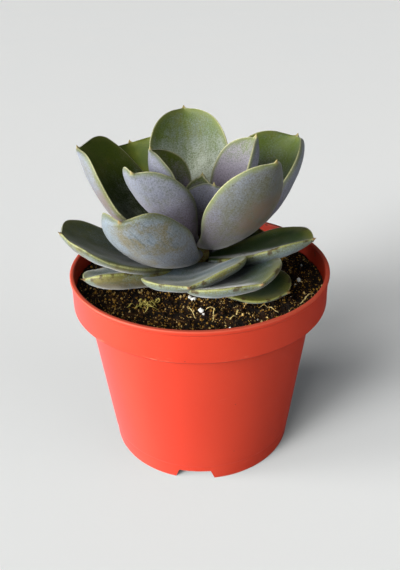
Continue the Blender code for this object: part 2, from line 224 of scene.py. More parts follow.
def rounded(corners, steps=4):
    """A section's corners, each given as radius, height and fillet, with the fillets turned round."""
    points = []
    for i, (radius, height, fillet) in enumerate(corners):
        corner = Vector((radius, height))
        before = Vector(corners[i - 1][:2]) - corner
        after = Vector(corners[(i + 1) % len(corners)][:2]) - corner
        if fillet == 0:
            points.append(tuple(corner))
            continue
        start = corner + before.normalized() * fillet
        end = corner + after.normalized() * fillet
        for k in range(steps + 1):
            t = k / steps
            points.append(tuple((1 - t) ** 2 * start + 2 * t * (1 - t) * corner + t * t * end))
    return points


def spun(profile, sides):
    """A closed section of radius and height points, turned round the pot's axis."""
    bm = bmesh.new()
    verts = [bm.verts.new((radius, 0, height)) for radius, height in profile]
    edges = [bm.edges.new(pair) for pair in zip(verts, verts[1:] + verts[:1])]
    bmesh.ops.spin(bm, geom=verts + edges, axis=(0, 0, 1), cent=(0, 0, 0), steps=sides, angle=math.tau)
    bmesh.ops.remove_doubles(bm, verts=bm.verts, dist=0.005 * MM)
    bmesh.ops.recalc_face_normals(bm, faces=bm.faces)
    return bm


def mesh_from_bmesh(bm, name):
    """A mesh of what was modelled in a bmesh, which is freed."""
    mesh = bpy.data.meshes.new(name)
    bm.to_mesh(mesh)
    bm.free()
    return mesh


def pot_section():
    """The wall in section: up the outside from the foot, over the lip, and down to the drain floor."""
    body_top = POT_RIM - COLLAR_STEP
    collar = POT_RIM - COLLAR_TAPER
    inside_rim = POT_RIM - LIP_STAND_OUT - POT_WALL
    lip = POT_HEIGHT - LIP_HEIGHT
    floor_low = FOOT_HEIGHT - FLOOR_THICKNESS
    corners = [
        (FOOT_RADIUS, 0, 0.3 * MM),
        (BASE_RADIUS - 0.25 * MM, FOOT_HEIGHT - 0.3 * MM, 0.4 * MM),
        (BASE_RADIUS, FOOT_HEIGHT + 0.4 * MM, 0.4 * MM),
        (body_top, COLLAR_FOOT, 0.9 * MM),
        (collar, COLLAR_FOOT, 0.8 * MM),
        (POT_RIM - LIP_STAND_OUT, lip, 0.35 * MM),
        (POT_RIM, lip + 0.4 * MM, 0.35 * MM),
        (POT_RIM, POT_HEIGHT, 0.55 * MM),
        (inside_rim, POT_HEIGHT, 0.55 * MM),
        (inside_rim, COLLAR_FOOT + POT_WALL, INSIDE_FILLET),
        (body_top - POT_WALL, COLLAR_FOOT + POT_WALL, 0.8 * MM),
        (BASE_RADIUS - POT_WALL, FOOT_HEIGHT, INSIDE_FILLET),
        (0, FOOT_HEIGHT, 0),
        (0, floor_low, 0),
    ]
    crest = floor_low - FLOOR_RIB_HEIGHT
    for rib in FLOOR_RIB_RADII:
        corners += [
            (rib - FLOOR_RIB_FOOT, floor_low, 0.2 * MM),
            (rib - FLOOR_RIB_TOP, crest, 0.2 * MM),
            (rib + FLOOR_RIB_TOP, crest, 0.2 * MM),
            (rib + FLOOR_RIB_FOOT, floor_low, 0.2 * MM),
        ]
    corners += [(FOOT_RADIUS - POT_WALL, floor_low, 1 * MM), (FOOT_RADIUS - POT_WALL, 0, 0.3 * MM)]
    return rounded(corners)


def notch_space(index):
    """The wedge with sloping sides that is missing from the foot at one notch."""
    inner = FOOT_RADIUS - 4 * POT_WALL
    outer = BASE_RADIUS + 2 * POT_WALL
    below = -1 * MM
    foot, top = NOTCH_FOOT_WIDTH / 2, NOTCH_TOP_WIDTH / 2
    section = [(-foot, below), (foot, below), (foot, 0)]
    section += [(top, NOTCH_HEIGHT), (-top, NOTCH_HEIGHT), (-foot, 0)]
    bm = bmesh.new()
    ends = [[bm.verts.new((x, across, z)) for across, z in section] for x in (inner, outer)]
    for i in range(len(section)):
        j = (i + 1) % len(section)
        bm.faces.new((ends[0][i], ends[0][j], ends[1][j], ends[1][i]))
    for end in ends:
        bm.faces.new(end)
    bmesh.ops.recalc_face_normals(bm, faces=bm.faces)
    turn = NOTCH_TURN + math.tau * index / NOTCH_COUNT
    bmesh.ops.rotate(bm, verts=bm.verts, cent=(0, 0, 0), matrix=Matrix.Rotation(turn, 3, "Z"))
    return bm


def drain_space(index):
    """The rod that is missing from the floor at one drain hole."""
    turn = math.tau * (index + 0.5) / DRAIN_COUNT
    ring_radius = DRAIN_RING_RADIUS
    centre = Vector((ring_radius * math.cos(turn), ring_radius * math.sin(turn), FOOT_HEIGHT))
    bm = bmesh.new()
    bmesh.ops.create_cone(
        bm, cap_ends=True, segments=40, radius1=DRAIN_RADIUS, radius2=DRAIN_RADIUS,
        depth=4 * FLOOR_THICKNESS, matrix=Matrix.Translation(centre),
    )
    return bm


def cut_out(bm, spaces):
    """Takes the spaces out of a body, and gives back the cut mesh."""
    scene = bpy.context.scene
    body = bpy.data.objects.new("body", mesh_from_bmesh(bm, "pot"))
    group = bpy.data.collections.new("spaces")
    scene.collection.objects.link(body)
    scene.collection.children.link(group)
    for space in spaces:
        group.objects.link(bpy.data.objects.new("space", mesh_from_bmesh(space, "space")))
    cut = body.modifiers.new("cut", "BOOLEAN")
    cut.operand_type = "COLLECTION"
    cut.collection = group
    mesh = bpy.data.meshes.new_from_object(body.evaluated_get(bpy.context.evaluated_depsgraph_get()))
    for spare in [body, *group.objects]:
        bpy.data.objects.remove(spare, do_unlink=True)
    bpy.data.collections.remove(group)
    return mesh


def pot_finish():
    """Satin plastic: moulded grain, flow marks, peat dust, specks, scuffs, a painted highlight along the
    lip and painted shade under the collar.
    """
    finish = Finish("pot_plastic", {"IOR": 1.46, "Specular IOR Level": 0.30})
    red = paint(180, 48, 25)
    red_faded = paint(186, 53, 29)
    chalky = paint(200, 120, 96)
    dust = paint(62, 34, 22)
    height = finish.node("ShaderNodeSeparateXYZ", inputs={"Vector": finish.place()}, output=2)
    flow = finish.clouds(45 * MM, 2, finish.place((1, 1, 0.35)))
    colour = finish.mix(red, red_faded, finish.band(flow, 0.35, 0.65))

    near_step = finish.band(height, COLLAR_FOOT + 3 * MM, COLLAR_FOOT + 0.6 * MM)
    near_step = near_step * finish.band(height, COLLAR_FOOT - 0.8 * MM, COLLAR_FOOT)
    patches = finish.band(finish.clouds(16 * MM, 4), 0.55, 0.68)
    scratches = finish.band(finish.clouds(1.1 * MM, 3, finish.place((0.3, 0.3, 2.5))), 0.55, 0.66)
    # The top of the lip is also painted paler, a painted highlight along the rim, mixed in with the scuffs.
    lip = finish.band(height, POT_HEIGHT - 0.9 * MM, POT_HEIGHT - 0.1 * MM)
    scuffs_and_lip_highlight = finish.either(near_step * patches * scratches, lip * 0.35)
    level_streaks = finish.clouds(0.9 * MM, 2, finish.place((0.12, 0.12, 1.6)))
    hairlines = finish.band(level_streaks, 0.70, 0.76) * patches
    scuffs_and_lip_highlight = finish.either(scuffs_and_lip_highlight, hairlines * 0.5)
    colour = finish.mix(colour, chalky, scuffs_and_lip_highlight * 0.7)

    small_specks = finish.specks(7 * MM, 0.34 * MM, 0.22)
    specks = finish.either(small_specks, finish.specks(13 * MM, 0.5 * MM, 0.12))
    above_peat = finish.band(height, POT_HEIGHT - 9 * MM, POT_HEIGHT - 3 * MM)
    from_axis = {0: finish.place((1, 1, 0))}
    radius = finish.node("ShaderNodeVectorMath", {"operation": "LENGTH"}, from_axis, output=1)
    inside = above_peat * finish.band(radius, POT_RIM - 1.7 * MM, POT_RIM - 1.9 * MM)
    dusty = inside * finish.band(finish.clouds(3.5 * MM, 4), 0.60, 0.70)
    colour = finish.mix(colour, dust, finish.either(specks * 0.85, dusty * 0.6))

    # Painted shade: a dark red line just under the collar step, where the collar's overhang shades the
    # body.
    collar_shade = finish.band(height, COLLAR_FOOT - 1.4 * MM, COLLAR_FOOT - 0.2 * MM)
    collar_shade = collar_shade * finish.band(height, COLLAR_FOOT + 0.9 * MM, COLLAR_FOOT + 0.3 * MM)
    colour = finish.mix(colour, paint(104, 20, 8), collar_shade * 0.5)

    grain = finish.clouds(0.35 * MM, 2)
    ripple = finish.clouds(9 * MM, 2)
    roughness = 0.40 + 0.10 * flow + 0.25 * scuffs_and_lip_highlight
    relief = 0.15 * grain + 0.85 * ripple
    return finish.show(colour, roughness, relief, 0.12 * MM, 0.6)


spaces = [notch_space(i) for i in range(NOTCH_COUNT)] + [drain_space(i) for i in range(DRAIN_COUNT)]
pot_shell = cut_out(spun(pot_section(), POT_SIDES), spaces)
pot = show_piece("nursery_pot", pot_shell, pot_finish(), 30)
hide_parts("pot")
# In this bright studio, the red that the pot throws on the leaves and the floor would be too strong.
pot.visible_diffuse = False

# The peat. A dark, open mix that fills the pot to 8.5 mm below the rim. Its surface is broken up
# into lumps and loose crumbs a millimetre or two across, from near-black to tan.
SOIL_LEVEL = POT_HEIGHT - 8.5 * MM
SOIL_GAP = 0.3 * MM
SOIL_RINGS = 84
SOIL_SIDES = 400
SOIL_HOLE = 5 * MM
SOIL_HOLE_DEPTH = 24 * MM
SOIL_MOUND = 0.8 * MM
SOIL_MOUND_RADIUS = 36 * MM
SOIL_EDGE = POT_RIM - LIP_STAND_OUT - POT_WALL - 1.2 * MM
# Crumbs by name and count, with their usual radius in millimetres and its spread.
CRUMBS = [("peat_crumbs", 4200, 0.46, 0.3), ("peat_grains", 9000, 0.25, 0.25)]
CRUMB_SEED = 11


def ease(x):
    """A soft step from 0 at 0 to 1 at 1."""
    x = np.clip(x, 0, 1)
    return x * x * (3 - 2 * x)


def noise_at(spots, size):
    """Smooth noise from -1 to 1 at an array of points, with features of this size."""
    falloff, gap, octaves = 1, 2, 1
    return np.array([noise.fractal(Vector(spot) / size, falloff, gap, octaves) for spot in spots])


def soil_height(x, y):
    """The broken surface: a low mound, lumps, and rounded clods with creases between them."""
    spots = np.column_stack([x, y, np.zeros(len(x))])
    lumps = MM * noise_at(spots, 7 * MM) + 0.5 * MM * noise_at(spots + [0, 0, 7 * MM], 3.2 * MM)
    clods = 0.9 * MM * (0.35 - np.abs(noise_at(spots + [0, 0, 0.03], 2.4 * MM)))
    grit = 0.35 * MM * noise_at(spots + [0, 0, 0.06], 0.9 * MM)
    mound = SOIL_MOUND * (1 - ease(np.hypot(x, y) / SOIL_MOUND_RADIUS))
    return SOIL_LEVEL + mound + lumps + clods + grit


def mesh_from_points(name, points, faces, numbers=()):
    """A mesh from arrays of points and faces, with named numbers kept on its points."""
    mesh = bpy.data.meshes.new(name)
    mesh.from_pydata(points, [], faces)
    for label, values in dict(numbers).items():
        kept = mesh.attributes.new(label, "FLOAT", "POINT")
        kept.data.foreach_set("value", np.asarray(values, np.float32))
    return mesh


def ring_faces(rings, sides, first=0):
    """Quads between rings of points that follow each other in one list."""
    ring, side = np.meshgrid(np.arange(rings - 1), np.arange(sides), indexing="ij")
    here = first + ring * sides + side
    beside = first + ring * sides + (side + 1) % sides
    return np.stack([here, beside, beside + sides, here + sides], -1).reshape(-1, 4)


def tube_faces(rings, sides, first=0):
    """The same quads, with a face across each end."""
    faces = ring_faces(rings, sides, first).tolist()
    faces.append(list(range(first, first + sides))[::-1])
    faces.append(list(range(first + (rings - 1) * sides, first + rings * sides)))
    return faces


def level_ring(radius, turn, height):
    """Points round the pot's axis, all at one height."""
    return np.column_stack([radius * np.cos(turn), radius * np.sin(turn), np.full(len(turn), height)])


def soil_body():
    """The filled volume: drain floor, pot wall, broken surface and the hole for the stem."""
    turn = np.arange(SOIL_SIDES) * math.tau / SOIL_SIDES
    step = COLLAR_FOOT + POT_WALL
    inside_rim = POT_RIM - LIP_STAND_OUT - POT_WALL - SOIL_GAP
    outline = [
        (0.1 * MM, FOOT_HEIGHT + SOIL_GAP),
        (BASE_RADIUS - POT_WALL - INSIDE_FILLET, FOOT_HEIGHT + SOIL_GAP),
        (BASE_RADIUS - POT_WALL - SOIL_GAP, FOOT_HEIGHT + 1.4 * MM),
        (POT_RIM - COLLAR_STEP - POT_WALL - SOIL_GAP, step),
        (inside_rim - 1.4 * MM, step + SOIL_GAP),
        (inside_rim, step + 1.7 * MM),
    ]
    rings = [level_ring(radius, turn, height) for radius, height in outline]
    for share in np.linspace(0, 1, SOIL_RINGS):
        radius = inside_rim + (SOIL_HOLE - inside_rim) * share
        x, y = radius * np.cos(turn), radius * np.sin(turn)
        rings.append(np.column_stack([x, y, soil_height(x, y)]))
    for radius in (SOIL_HOLE, 0.1 * MM):
        rings.append(level_ring(radius, turn, SOIL_LEVEL - SOIL_HOLE_DEPTH))
    points = np.vstack(rings)
    tone = 0.25 + 0.2 * noise_at(points, 2 * MM)
    return mesh_from_points("peat", points, tube_faces(len(rings), SOIL_SIDES), {"tone": tone})


def any_turns(draw, count):
    """Rotation matrices in every direction alike."""
    w, x, y, z = draw.normal(size=(count, 4)).T
    size = np.sqrt(w * w + x * x + y * y + z * z)
    w, x, y, z = w / size, x / size, y / size, z / size
    rows = [
        [1 - 2 * (y * y + z * z), 2 * (x * y - z * w), 2 * (x * z + y * w)],
        [2 * (x * y + z * w), 1 - 2 * (x * x + z * z), 2 * (y * z - x * w)],
        [2 * (x * z - y * w), 2 * (y * z + x * w), 1 - 2 * (x * x + y * y)],
    ]
    return np.array(rows).transpose(2, 0, 1)


def grains(draw, places, radii, detail=1, raggedness=0.22, slimness=0.55):
    """Irregular lumps: a ball of few faces for each place, squashed, dented and turned at random."""
    bm = bmesh.new()
    bmesh.ops.create_icosphere(bm, subdivisions=detail, radius=1)
    ball = np.array([vert.co for vert in bm.verts])
    faces = np.array([[vert.index for vert in face.verts] for face in bm.faces])
    bm.free()
    count = len(places)
    squash = draw.uniform(slimness, 1, (count, 1, 3))
    dents = 1 + draw.uniform(-raggedness, raggedness, (count, len(ball), 1))
    shapes = ball[None] * dents * squash
    shapes = np.einsum("nij,nkj->nki", any_turns(draw, count), shapes)
    points = shapes * np.asarray(radii)[:, None, None] + np.asarray(places)[:, None, :]
    every = faces[None] + (np.arange(count) * len(ball))[:, None, None]
    return points.reshape(-1, 3), every.reshape(-1, 3), len(ball)


def scattered(draw, count, inner, outer):
    """Places spread evenly over a ring of the soil, as x and y."""
    radius = np.sqrt(draw.uniform(inner ** 2, outer ** 2, count))
    turn = draw.uniform(0, math.tau, count)
    return radius * np.cos(turn), radius * np.sin(turn)


def peat_finish():
    """Peat fibre: near-black where it is damp, with brown, tan and straw-coloured crumbs."""
    finish = Finish("peat", {"IOR": 1.4, "Specular IOR Level": 0.35})
    tone = finish.attribute("tone")
    fine = finish.clouds(0.5 * MM, 4)
    tone = tone + (fine - 0.5) * 0.6 + (finish.clouds(7 * MM, 2) - 0.5)
    colour = finish.mix(paint(14, 8, 4), paint(60, 36, 14), finish.band(tone, 0.15, 0.55))
    colour = finish.mix(colour, paint(164, 122, 46), finish.band(tone, 0.57, 0.77))
    colour = finish.mix(colour, paint(206, 178, 116), finish.band(tone, 0.86, 1.0))
    return finish.show(colour, 0.92 - 0.35 * finish.band(fine, 0.6, 0.8), fine, 0.25 * MM, 1)


peat = peat_finish()
soil = show_piece("peat_fill", soil_body(), peat, 180)
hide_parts("soil")

draw = np.random.default_rng(CRUMB_SEED)
for name, count, size, spread in CRUMBS:
    x, y = scattered(draw, count, SOIL_HOLE + 4 * MM, SOIL_EDGE)
    radii = np.clip(draw.lognormal(math.log(size), spread, count), 0.15, 1.1) * MM
    places = np.column_stack([x, y, soil_height(x, y) + 0.35 * radii])
    points, faces, each = grains(draw, places, radii)
    tones = np.repeat(draw.uniform(0, 1, count), each)
    show_piece(name, mesh_from_points(name, points, faces, {"tone": tones}), peat, 25)

# Perlite and debris. The mix holds a few white grains of expanded glass, and on top lie dry
# straw-coloured fibres, threads of yellow-green moss and chips of bark.
PERLITE_SEED = 5
FIBRE_SEED = 21
LOOSE_FIBRES = 110
BENDS = 12
MOSS_THREADS = 5
MOSS_RADIUS = 0.3 * MM
# Each grain's x, y and radius, in millimetres.
PERLITE = [(0.4, -32.3, 1.1), (1.3, -34.0, 0.8), (-0.5, -31.2, 0.7), (-3, -20.8, 1.4), (-4.6, -20.1, 0.9)]
PERLITE += [(46.2, -4.9, 1.1), (44.1, -8.3, 0.5), (40.4, -19.9, 0.5), (12, -44, 0.5), (-32, -38, 0.5)]
PERLITE += [(24, 45, 1.3), (-40, 29, 1.1), (50, 12, 0.7), (-8, 50, 1.0), (-50, 4, 0.6), (24, -38, 0.45)]
# Each straw's middle in x and y, its direction in degrees, its length and its radius.
STRAWS = [(47.5, -21.9, 47, 11.8, 0.28), (30.8, -31.7, -51, 6.7, 0.28), (27.5, -28.5, -20, 3, 0.22)]
STRAWS += [(4, -31, 20, 4.5, 0.24), (6, -32, 70, 3.5, 0.24), (5, -30.5, -30, 4, 0.24)]
STRAWS += [(-4.4, -32, -78, 10, 0.22), (16, -32.9, 60, 3, 0.3)]
STRAWS += [(6, -37, -80, 7, 0.22), (14, -38, 15, 4, 0.22)]
# Each tuft's middle in x and y.
MOSS = [(-26.6, -24.6), (-22.3, -24.0), (-29.9, -27.1), (-24, -27.5)]


def perlite_finish():
    """White, pitted and stained in places by the peat."""
    finish = Finish("perlite", {"IOR": 1.45, "Specular IOR Level": 0.3, "Roughness": 0.85})
    pits = finish.clouds(0.6 * MM, 4)
    stain = finish.band(finish.clouds(2.2 * MM, 3), 0.55, 0.75)
    colour = finish.mix(paint(238, 238, 232), paint(196, 176, 132), stain * 0.8)
    return finish.show(colour, None, pits, 0.3 * MM, 0.8)


def fibre_finish(name, dry, fresh):
    """Dead plant fibre in two tones, the darker one laid in its hollows as painted shade."""
    finish = Finish(name, {"IOR": 1.4, "Specular IOR Level": 0.3, "Roughness": 0.75})
    streaks = finish.clouds(0.8 * MM, 3)
    colour = finish.mix(dry, fresh, finish.band(streaks, 0.35, 0.65))
    return finish.show(colour, None, streaks, 0.1 * MM, 0.6)


def strand(start, turn, length, radius, wander, sides=6, steps=12):
    """One bent fibre that lies on the peat, as rings of points narrowing to both ends."""
    rings = []
    spot = np.array([*start, 0], float)
    for i in range(steps + 1):
        share = i / steps
        along = np.array([math.cos(turn), math.sin(turn), 0])
        beside = np.array([-math.sin(turn), math.cos(turn), 0])
        thick = radius * (0.25 + 0.75 * math.sin(math.pi * min(max(share, 0.04), 0.96)) ** 0.5)
        height = soil_height(np.array([spot[0]]), np.array([spot[1]]))[0] + 0.55 * MM
        lift = 1.1 * MM * math.sin(math.pi * share)
        for k in range(sides):
            angle = math.tau * k / sides
            up = 0.6 * thick * math.sin(angle)
            centre = np.array([spot[0], spot[1], height + lift + up])
            rings.append(centre + beside * thick * math.cos(angle))
        spot = spot + along * length / steps
        turn += wander[i % len(wander)]
    return np.array(rings), steps + 1, sides


def fibre_mesh(name, strands):
    """Strands in one mesh, each closed at both ends."""
    points, faces, first = [], [], 0
    for rings, count, sides in strands:
        points.append(rings)
        faces += tube_faces(count, sides, first)
        first += len(rings)
    return mesh_from_points(name, np.vstack(points), faces)


draw = np.random.default_rng(PERLITE_SEED)
spots = np.array(PERLITE) * MM
places = np.column_stack([spots[:, :2], soil_height(spots[:, 0], spots[:, 1]) + 0.55 * spots[:, 2]])
points, faces, each = grains(draw, places, spots[:, 2], 2, 0.28, 0.6)
show_piece("perlite", mesh_from_points("perlite", points, faces), perlite_finish(), 60)

draw = np.random.default_rng(FIBRE_SEED)
strands = []
for x, y, direction, length, radius in STRAWS:
    wander = draw.normal(0, 0.10, BENDS)
    turn = math.radians(direction)
    half = length * MM / 2
    start = (x * MM - half * math.cos(turn), y * MM - half * math.sin(turn))
    strands.append(strand(start, turn, length * MM, radius * MM, wander))
straw = fibre_finish("straw", paint(178, 148, 78), paint(234, 216, 152))
show_piece("straw_fibres", fibre_mesh("straw_fibres", strands), straw, 60)

x, y = scattered(draw, LOOSE_FIBRES, 16 * MM, SOIL_EDGE - 3 * MM)
strands = []
for spot in zip(x, y):
    wander = draw.normal(0, 0.28, BENDS)
    length = draw.uniform(1.6, 4.2) * MM
    turn = draw.uniform(0, math.tau)
    radius = draw.uniform(0.12, 0.28) * MM
    strands.append(strand(spot, turn, length, radius, wander, sides=5, steps=6))
bark = fibre_finish("bark_fibre", paint(70, 44, 20), paint(140, 104, 48))
show_piece("bark_fibres", fibre_mesh("bark_fibres", strands), bark, 60)

strands = []
for x, y in MOSS:
    for _ in range(MOSS_THREADS):
        spot = (x * MM + draw.normal(0, 1.4) * MM, y * MM + draw.normal(0, 1.0) * MM)
        wander = draw.normal(0.05, 0.35, BENDS)
        turn = draw.uniform(-0.6, 1.2)
        length = draw.uniform(3, 6) * MM
        strands.append(strand(spot, turn, length, MOSS_RADIUS, wander, steps=10))
moss = fibre_finish("moss", paint(116, 106, 42), paint(190, 176, 96))
show_piece("moss_threads", fibre_mesh("moss_threads", strands), moss, 60)

# The stem. Short, thick and woody, ringed by the scars of fallen leaves, it stands in the peat
# and carries every leaf.
STEM_LOW, STEM_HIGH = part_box("stem")
STEM_RADIUS = STEM_HIGH.x
STEM_SCAR_STEP = 5 * MM
STEM_SIDES = 48
STEM_RINGS = 90


def stem_mesh():
    """A closed rod with a shallow ring at each leaf scar."""
    turn = np.arange(STEM_SIDES) * math.tau / STEM_SIDES
    rings = []
    for height in np.linspace(STEM_LOW.z, STEM_HIGH.z, STEM_RINGS):
        scar = abs(math.sin(math.pi * (height - STEM_LOW.z) / STEM_SCAR_STEP))
        spots = np.column_stack([np.cos(turn), np.sin(turn), np.full(STEM_SIDES, height / (4 * MM))])
        radius = STEM_RADIUS - 0.45 * MM * (1 - scar) ** 2 - 0.12 * MM * (1 + noise_at(spots, 0.4))
        rings.append(level_ring(radius, turn, height))
    return mesh_from_points("stem", np.vstack(rings), tube_faces(STEM_RINGS, STEM_SIDES))


def stem_finish():
    """Corky bark over green, browner in patches."""
    finish = Finish("stem_bark", {"IOR": 1.4, "Specular IOR Level": 0.35, "Roughness": 0.8})
    cork = finish.band(finish.clouds(1.6 * MM, 4, finish.place((1, 1, 2.2))), 0.42, 0.62)
    colour = finish.mix(paint(112, 108, 62), paint(96, 72, 44), cork)
    return finish.show(colour, None, finish.clouds(0.7 * MM, 4, finish.place((2, 2, 0.6))), 0.3 * MM, 0.9)


stem = show_piece("woody_stem", stem_mesh(), stem_finish(), 60)
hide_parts("stem")

# The leaves. Each is one thick, fleshy blade under a coat of powdery wax: lavender-blue outside,
# olive-green within, with a pale yellow-green margin and a short hard point. They grow from the
# stem in a spiral, the youngest in the middle, and the oldest lie on the peat.
LEAF_RINGS = 72
LEAF_SIDES = 64
RING_CROWDING = 1.35
ROOT_WIDTH = 9 * MM
WIDEST_AT = 0.6
POINT_LENGTH = 2 * MM
POINT_SLOPE = 0.55
POINT_THICKNESS = 1.2 * MM
POINT_BLEND = 0.5 * MM
SECTION_STEPS = 97
FOLD_REACH = 0.12
STEM_GAP = 0.3 * MM
INNER_BULGE = 0.25
OUTER_BULGE = 0.75
WAVE_SIZE = 14 * MM
WAVE_HEIGHT = 1.1 * MM
DENT_SIZE = 6 * MM
RIM_FROM_RING = 8
HEART_SEED = 1
LEAF_SEED = 3
SEED_STEP = 0.37


@dataclass
class Leaf:
    """One leaf, in millimetres and degrees.

    It grows from root, in its direction, and its tip ends at reach and tip from the pot's axis and
    the floor. Its age, its wax inside (powder) and its wax outside run from 0 to 1. Below 0.85, the
    wax outside also darkens the outer face, partly as dull skin and partly as painted shade.
    """

    name: str
    direction: float
    reach: float
    tip: float
    root: float
    width: float
    age: float
    powder: float
    bloom: float = 0.85
    cup: float = 25
    rise: float = 5
    roll: float = 0
    sweep: float = 0
    skew: float = 0
    fold: float = 8
    thickness: float = 4
    fullness: float = 2.4
    bluntness: float = 0.58
    root_radius: float = (STEM_RADIUS + STEM_GAP) / MM


HEART = [
    Leaf("heart_tip", 205, 3, 124, 109, 7, 0, 0.5, cup=45, rise=80, thickness=2.4, root_radius=0.6),
    Leaf("heart_side", 20, 5, 127, 109, 9, 0, 0.5, cup=45, rise=70, thickness=2.4, root_radius=0.8),
    Leaf(
        "heart_back", 78, 7.6, 134, 109, 19, 0, 0.85,
        cup=42, rise=63, roll=5, sweep=-3, thickness=2.4, fullness=1.95,
        bluntness=0.71, root_radius=1.2,
    ),
    Leaf(
        "heart_front", 312, 12.5, 135.5, 109.5, 28.5, 0, 0.5,
        cup=48, rise=38, roll=-5, sweep=-10, skew=-0.07, thickness=2.6,
        fullness=2.5, bluntness=0.57, root_radius=1.5,
    ),
]

LEAVES = [
    Leaf(
        "leaf_inner_right", 29, 30, 149, 108.5, 37, 0.1, 0.95,
        cup=47, rise=28, roll=-9, skew=0.03, fullness=2.5, bluntness=0.57,
    ),
    Leaf(
        "leaf_inner_left", 158, 22.5, 146, 109, 38.5, 0.1, 0.6,
        cup=66, rise=39, roll=13, fold=9.5, fullness=2.3, bluntness=0.59,
    ),
    Leaf(
        "leaf_inner_front_left", 226.5, 37, 146, 106.5, 38, 0.2, 0.5,
        cup=38, rise=42, roll=13, sweep=-2, skew=-0.15, fold=12, fullness=2.1, bluntness=0.44,
    ),
    # This leaf's thin wax outside also paints shade on its outer face.
    Leaf(
        "leaf_inner_front_right", 303, 46, 152.5, 105, 36.5, 0.25, 0.5, 0.56,
        cup=37, rise=13, roll=-16, sweep=7, skew=-0.03, fullness=2.5, bluntness=0.5,
    ),
    Leaf(
        "leaf_upper_back", 97, 54.5, 153.5, 104.5, 43, 0.3, 0.75,
        cup=34, rise=21, roll=-5, skew=-0.03, fold=9, fullness=2.5, bluntness=0.48,
    ),
    Leaf(
        "leaf_upper_left", 163, 54.5, 146.5, 102, 52, 0.35, 0.4,
        cup=30, rise=1, sweep=6, skew=-0.09, fullness=3.4, bluntness=0.26,
    ),
    Leaf(
        "leaf_upper_back_right", 38.5, 62.5, 142.5, 100, 52.5, 0.35, 0.7,
        cup=63, rise=-4, skew=0.03, fold=10, fullness=2.85, bluntness=0.33,
    ),
    Leaf(
        "leaf_upper_back_left", 122, 63, 137, 96.5, 42, 0.5, 0,
        rise=3, roll=-17, sweep=1.5, skew=-0.1, fold=11.5, fullness=3.1, bluntness=0.26,
    ),
    Leaf(
        "leaf_middle_front_left", 241, 51, 131.5, 100, 45.5, 0.6, 0.5,
        cup=57, rise=-4, roll=25.5, sweep=-8, skew=-0.15, fold=3.5, fullness=2.05, bluntness=0.26,
    ),
    Leaf("leaf_lower_back_right", 62, 50, 112, 96, 36, 0.7, 0.5, thickness=5),
    Leaf("leaf_lower_back_left", 130, 54, 112, 95, 38, 0.7, 0.5, thickness=5),
    Leaf(
        "leaf_lower_right", 352, 53, 111.5, 94.5, 34, 0.9, 0.1,
        cup=18.5, rise=7.5, roll=-2, sweep=-10, thickness=5.5, fullness=2.2, bluntness=0.61,
    ),
    Leaf(
        "leaf_lower_left", 193, 62.5, 115.5, 95, 48.5, 0.7, 0.6,
        cup=15, rise=0, roll=4, skew=0.05, fold=2, thickness=5.5, fullness=3.4, bluntness=0.32,
    ),
    Leaf(
        "leaf_lower_front", 264, 43, 102.5, 93.5, 47, 0.85, 0.7,
        cup=17, rise=6, roll=12, skew=0.05, fold=6, thickness=5.5, fullness=2.5,
    ),
    Leaf(
        "leaf_lower_front_right", 300, 52.5, 105.5, 91, 44.5, 0.9, 0.6,
        cup=16, roll=6, sweep=-1.5, skew=-0.05, fold=6, thickness=5.5, fullness=2.1,
    ),
    Leaf("leaf_lower_back", 90, 54, 112, 93, 38, 0.85, 0.5, thickness=5),
    Leaf("leaf_low_left", 155, 48, 108, 92, 36, 0.9, 0.5, thickness=5),
    Leaf(
        "leaf_low_front_left", 207, 57, 98.5, 93, 27.5, 1, 0.9,
        cup=9, rise=-2, roll=19, thickness=8.5, fullness=2.85, bluntness=0.39,
    ),
    Leaf("leaf_low_right", 25, 38, 101, 91, 30, 0.9, 0.4, thickness=5),
    Leaf(
        "leaf_resting_front_right", 321, 49.5, 93, 89.3, 28, 1, 0.05,
        cup=8, rise=4, roll=9, skew=-0.04, fold=2, fullness=2.45, bluntness=0.47,
    ),
]


def half_section(leaf, u):
    """A blade's cross-section of unit width at u, from -1 to 1: across, up and slope."""
    fine = np.linspace(0, 1, SECTION_STEPS)
    slope = math.radians(leaf.fold) * np.tanh(fine / FOLD_REACH) + math.radians(leaf.cup) * fine
    step = fine[1]
    across = np.concatenate([[0], np.cumsum(np.cos((slope[1:] + slope[:-1]) / 2)) * step])
    up = np.concatenate([[0], np.cumsum(np.sin((slope[1:] + slope[:-1]) / 2)) * step])
    side = np.where(u < 0, -1, 1)
    size = np.abs(u)
    across = side * np.interp(size, fine, across)
    up = np.interp(size, fine, up)
    return across, up, side * np.interp(size, fine, slope)


def blade_width(leaf, along):
    """Half width at a share of the blade's length: narrow root, broad upper half, blunt end."""
    half = leaf.width * MM / 2
    root = min(ROOT_WIDTH / 2, 0.7 * half)
    swelling = root + (half - root) * np.sin(math.pi / 2 * np.clip(along / WIDEST_AT, 0, 1)) ** 1.25
    past = np.clip((along - WIDEST_AT) / (1 - WIDEST_AT), 0, 1)
    return np.where(along < WIDEST_AT, swelling, half * (1 - past ** leaf.fullness) ** leaf.bluntness)


def smooth_greater(one, other, reach):
    """The greater of two lengths, eased over where they are within reach of each other."""
    near = np.maximum(reach - np.abs(one - other), 0) / reach
    return np.maximum(one, other) + near ** 2 * reach / 4


def unit(vectors):
    """The same directions at length 1."""
    return vectors / np.linalg.norm(vectors, axis=-1, keepdims=True)


